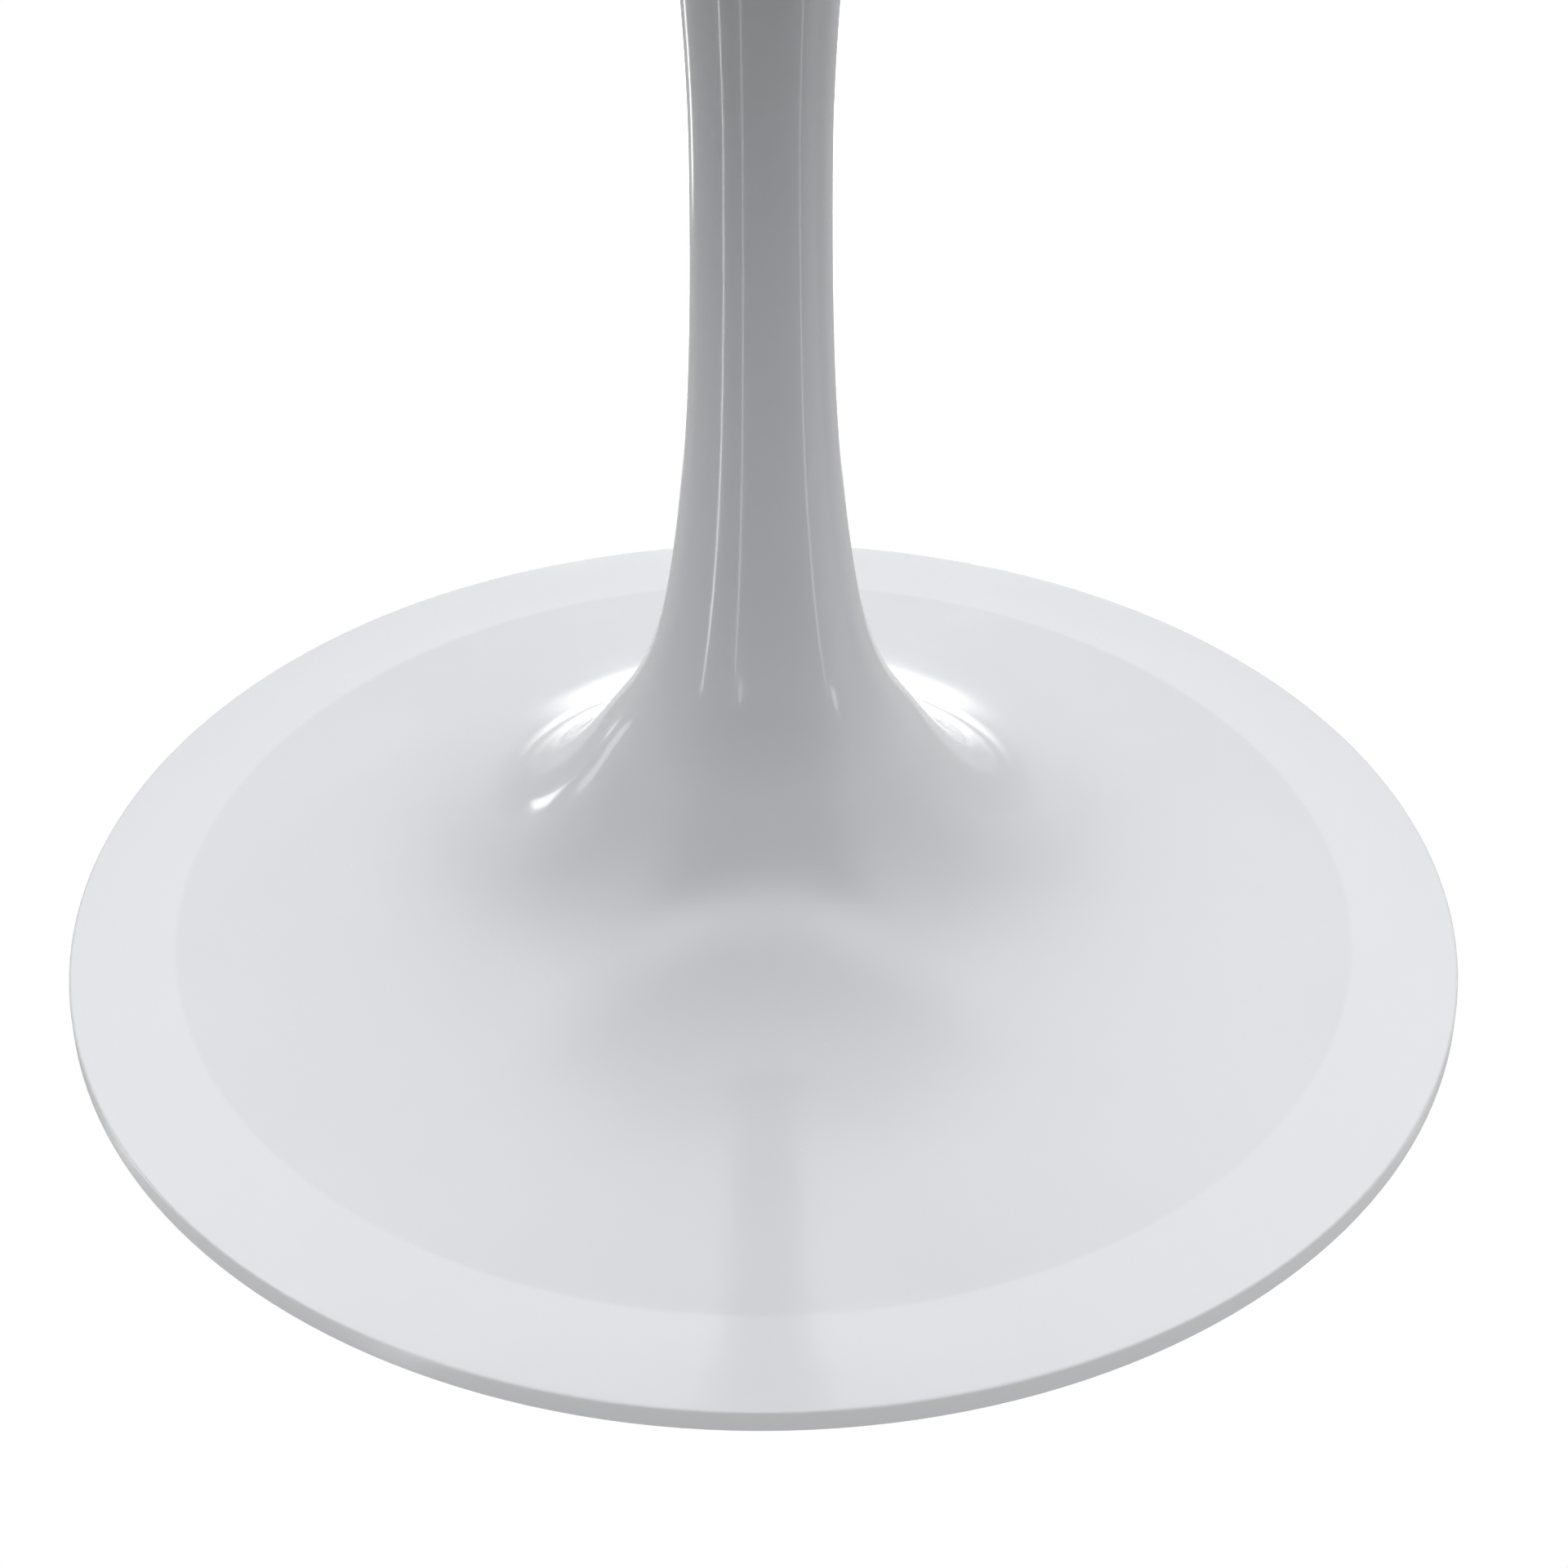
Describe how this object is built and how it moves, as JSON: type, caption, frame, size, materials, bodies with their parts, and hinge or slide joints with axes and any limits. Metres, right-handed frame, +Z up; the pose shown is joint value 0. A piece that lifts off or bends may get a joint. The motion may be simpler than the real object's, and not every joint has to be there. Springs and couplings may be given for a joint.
{
  "type": "round pedestal table",
  "caption": "Round table on a trumpet-shaped pedestal: thin bevelled disc top, slender flared stem and wide thin-edged round foot, with screw-down levelling glides.",
  "frame": {"origin": "on the pedestal's axis at floor level, under the levelling glides", "axes": "+Z up along the pedestal's axis; +X and +Y lie on the floor, midway between neighbouring glides"},
  "size_m": [0.9, 0.9, 0.73],
  "materials": {
    "top_lacquer": "gloss",
    "pedestal_lacquer": "gloss",
    "black_coat": "satin",
    "cast_iron": "matte",
    "zinc_steel": "satin",
    "nylon": "matte"
  },
  "bodies": {
    "table": {"tabletop": "top_lacquer", "mounting_plate": "black_coat", "pedestal": "pedestal_lacquer", "ballast_weight": "cast_iron", "wood_screw_1": "zinc_steel", "wood_screw_2": "zinc_steel", "wood_screw_3": "zinc_steel", "wood_screw_4": "zinc_steel", "wood_screw_5": "zinc_steel", "wood_screw_6": "zinc_steel", "wood_screw_7": "zinc_steel", "wood_screw_8": "zinc_steel", "flange_screw_1": "zinc_steel", "flange_screw_2": "zinc_steel", "flange_screw_3": "zinc_steel", "flange_screw_4": "zinc_steel", "ballast_bolt_1": "zinc_steel", "ballast_bolt_2": "zinc_steel", "ballast_bolt_3": "zinc_steel", "ballast_bolt_4": "zinc_steel", "ballast_washer_1": "zinc_steel", "ballast_washer_2": "zinc_steel", "ballast_washer_3": "zinc_steel", "ballast_washer_4": "zinc_steel", "glide_insert_1": "zinc_steel", "glide_insert_2": "zinc_steel", "glide_insert_3": "zinc_steel", "glide_insert_4": "zinc_steel"},
    "glide_pad_1_body": {"glide_pad_1": "nylon"},
    "glide_stud_1_body": {"glide_stud_1": "zinc_steel"},
    "glide_pad_2_body": {"glide_pad_2": "nylon"},
    "glide_stud_2_body": {"glide_stud_2": "zinc_steel"},
    "glide_pad_3_body": {"glide_pad_3": "nylon"},
    "glide_stud_3_body": {"glide_stud_3": "zinc_steel"},
    "glide_pad_4_body": {"glide_pad_4": "nylon"},
    "glide_stud_4_body": {"glide_stud_4": "zinc_steel"}
  },
  "joints": [
    {"name": "glide_lift_1", "type": "slide", "parent": "table", "child": "glide_pad_1_body", "axis": [0, 0, 1], "range_m": [-0.005, 0]},
    {"name": "glide_screw_1", "type": "hinge", "parent": "glide_pad_1_body", "child": "glide_stud_1_body", "pos_m": [0.13081, 0.13081, 0.01], "axis": [0, 0, 1], "range_deg": [-1440, 0]},
    {"name": "glide_lift_2", "type": "slide", "parent": "table", "child": "glide_pad_2_body", "axis": [0, 0, 1], "range_m": [-0.005, 0]},
    {"name": "glide_screw_2", "type": "hinge", "parent": "glide_pad_2_body", "child": "glide_stud_2_body", "pos_m": [-0.13081, 0.13081, 0.01], "axis": [0, 0, 1], "range_deg": [-1440, 0]},
    {"name": "glide_lift_3", "type": "slide", "parent": "table", "child": "glide_pad_3_body", "axis": [0, 0, 1], "range_m": [-0.005, 0]},
    {"name": "glide_screw_3", "type": "hinge", "parent": "glide_pad_3_body", "child": "glide_stud_3_body", "pos_m": [-0.13081, -0.13081, 0.01], "axis": [0, 0, 1], "range_deg": [-1440, 0]},
    {"name": "glide_lift_4", "type": "slide", "parent": "table", "child": "glide_pad_4_body", "axis": [0, 0, 1], "range_m": [-0.005, 0]},
    {"name": "glide_screw_4", "type": "hinge", "parent": "glide_pad_4_body", "child": "glide_stud_4_body", "pos_m": [0.13081, -0.13081, 0.01], "axis": [0, 0, 1], "range_deg": [-1440, 0]}
  ],
  "couplings": [
    {"joint": "glide_lift_1", "follows": "glide_screw_1", "m_per_rad": 0.00019894},
    {"joint": "glide_lift_2", "follows": "glide_screw_2", "m_per_rad": 0.00019894},
    {"joint": "glide_lift_3", "follows": "glide_screw_3", "m_per_rad": 0.00019894},
    {"joint": "glide_lift_4", "follows": "glide_screw_4", "m_per_rad": 0.00019894}
  ]
}
